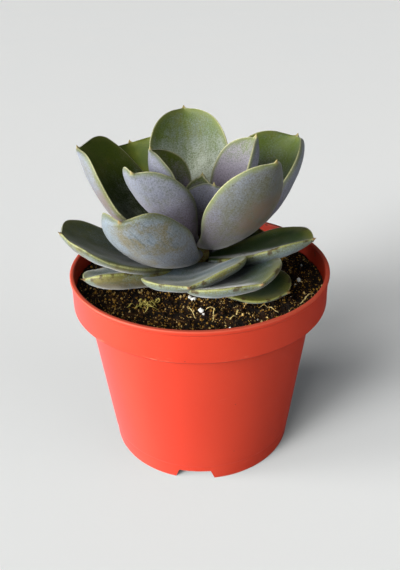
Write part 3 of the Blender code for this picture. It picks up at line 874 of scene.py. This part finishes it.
def leaf_shape(leaf, seed):
    """A leaf's points, ring by ring from root to tip, its faces, and the numbers its finish reads."""
    aim = math.radians(leaf.direction)
    tip_aim = math.radians(leaf.direction + leaf.sweep)
    rise = math.radians(leaf.rise)
    outward = np.array([math.cos(aim), math.sin(aim), 0])
    root = outward * leaf.root_radius * MM + [0, 0, leaf.root * MM]
    reach = leaf.reach * MM
    tip = np.array([reach * math.cos(tip_aim), reach * math.sin(tip_aim), leaf.tip * MM])
    heading = outward * math.cos(rise) + [0, 0, math.sin(rise)]
    elbow = root + heading * np.linalg.norm(tip - root) / 2

    s = 1 - (1 - np.arange(LEAF_RINGS) / LEAF_RINGS) ** RING_CROWDING
    s = s[:, None]
    midrib = (1 - s) ** 2 * root + 2 * s * (1 - s) * elbow + s * s * tip
    ahead = unit((1 - s) * (elbow - root) + s * (tip - elbow))
    steps = np.linalg.norm(np.diff(np.vstack([midrib, tip]), axis=0), axis=1)
    length = steps.sum()
    share = np.concatenate([[0], np.cumsum(steps)[:-1]]) / length
    blade_end = 1 - POINT_LENGTH / length
    along = np.minimum(share / blade_end, 1)

    left = unit(np.cross([0, 0, 1], ahead))
    inward = np.cross(ahead, left)
    turn = math.radians(leaf.roll) * ease(s / 0.5)
    rolled_left = np.cos(turn) * left + np.sin(turn) * inward
    inward = np.cos(turn) * inward - np.sin(turn) * left
    left = rolled_left

    to_end = (1 - share) * length
    point = np.where(along > 0.8, POINT_SLOPE * MM * (to_end / MM) ** 1.25, 0)
    half_width = smooth_greater(blade_width(leaf, along), point, POINT_BLEND)
    thickness = leaf.thickness * MM * (1 - 0.35 * share ** 2) * (1 - along ** 10) ** 0.5
    thickness = smooth_greater(thickness, 1.3 * np.minimum(point, POINT_THICKNESS), POINT_BLEND)

    angle = math.tau * np.arange(LEAF_SIDES) / LEAF_SIDES
    u = np.cos(angle)
    across, up, slope = half_section(leaf, u)
    squareness = 3 + 2.5 * leaf.age
    bulge = (1 - np.abs(u) ** squareness) ** 0.5
    bulge = bulge * np.where(np.sin(angle) >= 0, INNER_BULGE, -OUTER_BULGE)
    wide = half_width[:, None, None] * (1 + leaf.skew * u)[:, None]
    spots = midrib[:, None] + wide * (across[:, None] * left[:, None] + up[:, None] * inward[:, None])
    out = np.cos(slope)[:, None] * inward[:, None] - np.sin(slope)[:, None] * left[:, None]

    gate = (ease(along / 0.35) * (1 - ease((along - 0.9) / 0.1)))[:, None]
    flat = spots.reshape(-1, 3) + [seed, 0, 0]
    wave = noise_at(flat, WAVE_SIZE).reshape(spots.shape[:2]) * (0.25 + 0.75 * np.abs(u) ** 2)
    dents = noise_at(flat + [0, 0, 0.5], DENT_SIZE).reshape(spots.shape[:2])
    lift = gate * (WAVE_HEIGHT * wave + (0.10 + 0.18 * leaf.age) * MM * dents)
    points = spots + out * (bulge * thickness[:, None] + lift)[..., None]

    rim = np.vstack([points[:, 0], points[::-1, LEAF_SIDES // 2]])
    rim = rim[RIM_FROM_RING:2 * LEAF_RINGS - RIM_FROM_RING]
    flat = points.reshape(-1, 3)
    margin = np.min(np.linalg.norm(flat[:, None] - rim[None], axis=2), axis=1)
    to_tip = np.linalg.norm(flat - tip, axis=1)
    points = np.vstack([flat, tip, points[0].mean(0)])
    last = (LEAF_RINGS - 1) * LEAF_SIDES
    around = [(k, (k + 1) % LEAF_SIDES) for k in range(LEAF_SIDES)]
    faces = ring_faces(LEAF_RINGS, LEAF_SIDES).tolist()
    faces += [[last + a, last + b, len(flat)] for a, b in around]
    faces += [[b, a, len(flat) + 1] for a, b in around]
    numbers = {
        "margin": np.append(margin, [0, 9 * MM]),
        "to_tip": np.append(to_tip, [0, 1]),
        "along": np.append(np.repeat(along, LEAF_SIDES), [1, 0]),
        "across": np.append(np.tile(u, LEAF_RINGS), [0, 0]),
        "inner": np.append(np.tile(np.sin(angle), LEAF_RINGS), [0, 0]),
        "age": np.full(len(points), leaf.age),
        "powder": np.full(len(points), leaf.powder),
        "bloom": np.full(len(points), leaf.bloom),
        "seed": np.full(len(points), seed),
    }
    return points, faces, numbers


def leaf_finish(name):
    """Fleshy skin under powdery wax that wears off in clouds, with pale margins and old scars."""
    gloss = {"IOR": 1.42, "Specular IOR Level": 0.25, "Sheen Weight": 0.25, "Sheen Roughness": 0.35}
    finish = Finish(name, gloss)
    age, seed = finish.attribute("age"), finish.attribute("seed")
    along, across = finish.attribute("along"), finish.attribute("across")
    margin, to_tip = finish.attribute("margin"), finish.attribute("to_tip")
    inner = finish.band(finish.attribute("inner"), -0.3, 0.3)
    outer = 1 - inner
    unrolled = {"X": across * 0.030, "Y": along * 0.010, "Z": seed}
    lengthwise = finish.node("ShaderNodeCombineXYZ", inputs=unrolled)
    broad = finish.clouds(13 * MM, 3)
    patchy = finish.clouds(4.5 * MM, 5)
    streaky = finish.clouds(1.8 * MM, 3, lengthwise)
    grain = finish.clouds(0.6 * MM, 3)

    # The flesh that shows where the wax is rubbed off.
    flesh = finish.mix(paint(86, 100, 26), paint(28, 50, 14), age)
    flesh = finish.mix(flesh, paint(104, 104, 34), finish.band(broad, 0.45, 0.70) * (0.6 - 0.4 * age))
    worn = finish.mix(flesh, paint(108, 100, 72), outer * finish.band(age, 0.1, 0.35))

    # The wax: violet at the young leaves' roots, tarnished at the tips, and pale low on the grown ones,
    # where a painted highlight also lies on their inner faces.
    wax_inner = finish.mix(paint(134, 141, 132), paint(44, 72, 86), age)
    wax_outer = finish.mix(paint(118, 118, 133), paint(106, 124, 128), age)
    young = finish.band(age, 0.25, 0.1)
    wax_inner = finish.mix(wax_inner, paint(118, 115, 124), young)
    blush = finish.band(along, 0.85, 0.15) * (1 - age)
    wax = finish.mix(wax_inner, wax_outer, outer)
    wax = finish.mix(wax, paint(126, 100, 128), blush * finish.either(0.75 * outer, 0.5 * young))
    # Pale wax and a painted highlight: a whitish patch low in the middle of the inner face.
    pale_wax_and_highlight = inner * finish.band(along, 0.9, 0.4) * finish.band(age, 0.15, 0.25) * finish.band(age, 0.5, 0.35)
    middle = finish.band(abs(across + 0.3), 0.5, 0)
    wax = finish.mix(wax, paint(204, 210, 190), pale_wax_and_highlight * (0.4 + 0.4 * middle))
    tarnish = inner * finish.band(along, 0.5, 0.95) * finish.band(age, 0.15, 0.25)
    wax = finish.mix(wax, paint(68, 82, 64), tarnish * 0.85)

    # How much of it is left, inside and outside, worn through in clouds, strokes and grain.
    wear = 0.8 * (broad - 0.5) + 0.7 * (patchy - 0.5) + 0.5 * (streaky - 0.5) + 0.9 * (grain - 0.5)
    powder, bloom = finish.attribute("powder"), finish.attribute("bloom")
    rubbed = 0.9 * finish.band(broad, 0.42, 0.60) * finish.band(across, -0.8, 0) * age
    cover = (powder - 0.35 * finish.band(along, 0.45, 0.95)) * inner
    cover = cover + (bloom - rubbed) * outer
    cover = finish.band(cover + wear * (0.7 + 0.5 * age), 0.1, 0.9)
    colour = finish.mix(worn, wax, cover)
    colour = finish.mix(colour, paint(34, 36, 32), finish.band(grain, 0.52, 0.32) * 0.30)
    colour = finish.mix(colour, paint(196, 200, 200), finish.band(grain, 0.52, 0.72) * 0.10 * cover)

    # Dull strokes outside, a darker outer face where the wax outside is thin, partly dull skin and partly
    # painted shade, and a brown smear along one flank of the leaves in the middle.
    dull_and_shade = (0.85 - bloom) * 1.5
    strokes = finish.band(streaky, 0.54, 0.68) * finish.band(age, 0.2, 0.25) * 0.35
    colour = finish.mix(colour, paint(56, 60, 56), finish.either(dull_and_shade, strokes) * outer)
    flank = finish.band(across, -0.5, 0) * finish.band(along, 0.4, 0.55) * finish.band(along, 0.85, 0.7)
    flank = flank * finish.band(age, 0.22, 0.25) * finish.band(age, 0.5, 0.3)
    flank = flank * finish.band(patchy, 0.25, 0.5) * outer
    smear = finish.mix(paint(116, 92, 70), paint(84, 68, 48), grain)
    colour = finish.mix(colour, smear, flank * 0.7)

    # The margin: a green edge, a pale line on it, scars on the old leaves, and a dry tip.
    wander = 0.6 * MM * (patchy - 0.5)
    green_edge = finish.band(margin + 2 * wander, (2.2 * MM) + (3.2 * MM) * age, 0.6 * MM)
    green_edge = green_edge * (0.7 - 0.3 * age * finish.band(grain, 0.4, 0.6))
    colour = finish.mix(colour, finish.mix(paint(92, 104, 48), paint(98, 96, 34), age), green_edge)
    line = finish.band(margin + 0.5 * wander, 0.8 * MM, 0.3 * MM)
    line = line * (1 - 0.6 * finish.band(grain, 0.5, 0.35))
    pale_line = finish.mix(paint(172, 170, 138), paint(146, 148, 84), age)
    colour = finish.mix(colour, pale_line, line * (0.8 - 0.3 * age))
    scarred = finish.band(finish.clouds(4 * MM, 5), 0.54, 0.62) * finish.band(margin, 2.6 * MM, 1.2 * MM)
    colour = finish.mix(colour, paint(56, 40, 18), scarred * finish.band(age, 0.5, 0.9) * 0.8)
    tip = finish.band(to_tip, 2.4 * MM, 1.0 * MM)
    dry = finish.mix(paint(146, 134, 84), paint(110, 72, 36), age)
    colour = finish.mix(colour, dry, tip * 0.8)
    small_specks = finish.specks(6.5 * MM, 0.30 * MM, 0.22)
    specks = finish.either(small_specks, finish.specks(12 * MM, 0.5 * MM, 0.2) * age)
    colour = finish.mix(colour, paint(24, 18, 12), specks * 0.85)

    roughness = 0.64 - 0.14 * (1 - cover) - 0.06 * line
    groove = finish.math("MINIMUM", abs(across) * 3, 1) * inner * (1 - age)
    groove = groove * finish.band(along, 0.95, 0.5)
    relief = 0.5 * grain + 0.3 * streaky + 0.4 * patchy - 0.4 * specks + 8 * groove
    return finish.show(colour, roughness, relief, 0.12 * MM, 0.8)


finishes = {name: leaf_finish(name) for name in ("crown_leaf", "upper_leaf", "lower_leaf")}
shapes = [leaf_shape(leaf, HEART_SEED + i * SEED_STEP) for i, leaf in enumerate(HEART)]
starts = np.cumsum([0] + [len(points) for points, _, _ in shapes])
points = np.vstack([points for points, _, _ in shapes])
faces = [[start + i for i in face] for start, (_, those, _) in zip(starts, shapes) for face in those]
numbers = {label: np.concatenate([kept[label] for _, _, kept in shapes]) for label in shapes[0][2]}
heart_skin = mesh_from_points("heart_leaves", points, faces, numbers)
heart = show_piece("heart_leaves", heart_skin, finishes["crown_leaf"], 70)
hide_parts("crown_bud")
for i, leaf in enumerate(LEAVES):
    points, faces, numbers = leaf_shape(leaf, LEAF_SEED + i * SEED_STEP)
    slot = "lower_leaf" if "low" in leaf.name else "upper_leaf"
    skin = mesh_from_points(leaf.name, points, faces, numbers)
    blade = show_piece(leaf.name + "_blade", skin, finishes[slot], 70)
    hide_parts(leaf.name)

# The studio. A seamless pale floor, seen by a camera that looks down on the pot. The key light is
# low at the front left, with a weaker one above it and a low one from the left. A weak one from
# the right gives no highlights. The surround is faint, and glows on the left below the horizon.
FLOOR_SIZE = 12
# Each light's name, its direction and height in degrees, its strength and its width in degrees.
LIGHTS = [("key_light", 218, 14, 4.4, 30), ("upper_light", 236, 35, 1.4, 30)]
LIGHTS += [("side_light", 187, 5, 5.8, 30), ("right_light", 332, 14, 0.9, 60)]
SURROUND_STRENGTH = 0.04
GLOW_STRENGTH = 1.6
CAMERA_DISTANCE = 296 * MM
CAMERA_AIM = (0, 0, 80.6 * MM)
CAMERA_PITCH = 28.5
CAMERA_ROLL = -1
CAMERA_LENS = 39.16
SENSOR_SIZE = 36


def floor_finish():
    """Matt white paper, almost even."""
    finish = Finish("studio_floor", {"Roughness": 0.6, "Specular IOR Level": 0.2})
    return finish.show(finish.mix(paint(239, 241, 241), paint(241, 242, 241), finish.clouds(0.2, 2)))


class Surround(Finish):
    """The light from all round, built from the same nodes as a finish."""

    def __init__(self, name):
        self.world = bpy.data.worlds.new(name)
        self.world.use_nodes = True
        self.tree = self.world.node_tree
        self.shader = self.tree.nodes["Background"]

    def rise(self, value, start, end, top=1):
        """An even slope from 0 at start to top at end."""
        inputs = {"Value": value, "From Min": start, "From Max": end, "To Max": top}
        return self.node("ShaderNodeMapRange", inputs=inputs)


bm = bmesh.new()
bmesh.ops.create_grid(bm, x_segments=2, y_segments=2, size=FLOOR_SIZE / 2)
floor = bpy.data.objects.new("studio_floor", mesh_from_bmesh(bm, "studio_floor"))
bpy.context.scene.collection.objects.link(floor)
floor.data.materials.append(floor_finish())
# Gloss mirrors the glow below the horizon instead, which leaves the pot's right side deep red.
floor.visible_glossy = False

for name, direction, height, strength, spread in LIGHTS:
    light = bpy.data.objects.new(name, bpy.data.lights.new(name, "SUN"))
    bpy.context.scene.collection.objects.link(light)
    light.data.energy = strength
    light.data.angle = math.radians(spread)
    light.data.color = (1.0, 0.99, 0.975)
    light.visible_glossy = name != "right_light"
    turn, tilt = math.radians(direction), math.radians(height)
    towards = Vector((math.cos(turn) * math.cos(tilt), math.sin(turn) * math.cos(tilt), math.sin(tilt)))
    light.rotation_euler = towards.to_track_quat("Z", "Y").to_euler()

surround = Surround("surround")
heading = {"Vector": surround.node("ShaderNodeTexCoord")}
sideways = surround.node("ShaderNodeSeparateXYZ", inputs=heading, output=0)
upwards = surround.node("ShaderNodeSeparateXYZ", inputs=heading, output=2)
glow = surround.rise(sideways, 0.35, -0.9, GLOW_STRENGTH) * surround.rise(upwards, 0.05, -0.05)
surround.feed(surround.shader.inputs["Color"], paint(214, 232, 255))
surround.feed(surround.shader.inputs["Strength"], glow + SURROUND_STRENGTH)
# The floor stands before this glow, so only mirrored rays may look for it.
surround.world.cycles.sampling_method = "NONE"
bpy.context.scene.world = surround.world
bpy.context.scene.view_settings.view_transform = "Standard"

camera = bpy.data.objects.new("camera", bpy.data.cameras.new("camera"))
bpy.context.scene.collection.objects.link(camera)
camera.data.lens = CAMERA_LENS
camera.data.sensor_width = SENSOR_SIZE
camera.data.clip_start = 10 * MM
pitch = math.radians(CAMERA_PITCH)
back = Vector((0, -math.cos(pitch), math.sin(pitch)))
stand = Matrix.Translation(Vector(CAMERA_AIM) + CAMERA_DISTANCE * back)
tilt = Matrix.Rotation(math.pi / 2 - pitch, 4, "X")
camera.matrix_world = stand @ tilt @ Matrix.Rotation(math.radians(CAMERA_ROLL), 4, "Z")
bpy.context.scene.camera = camera
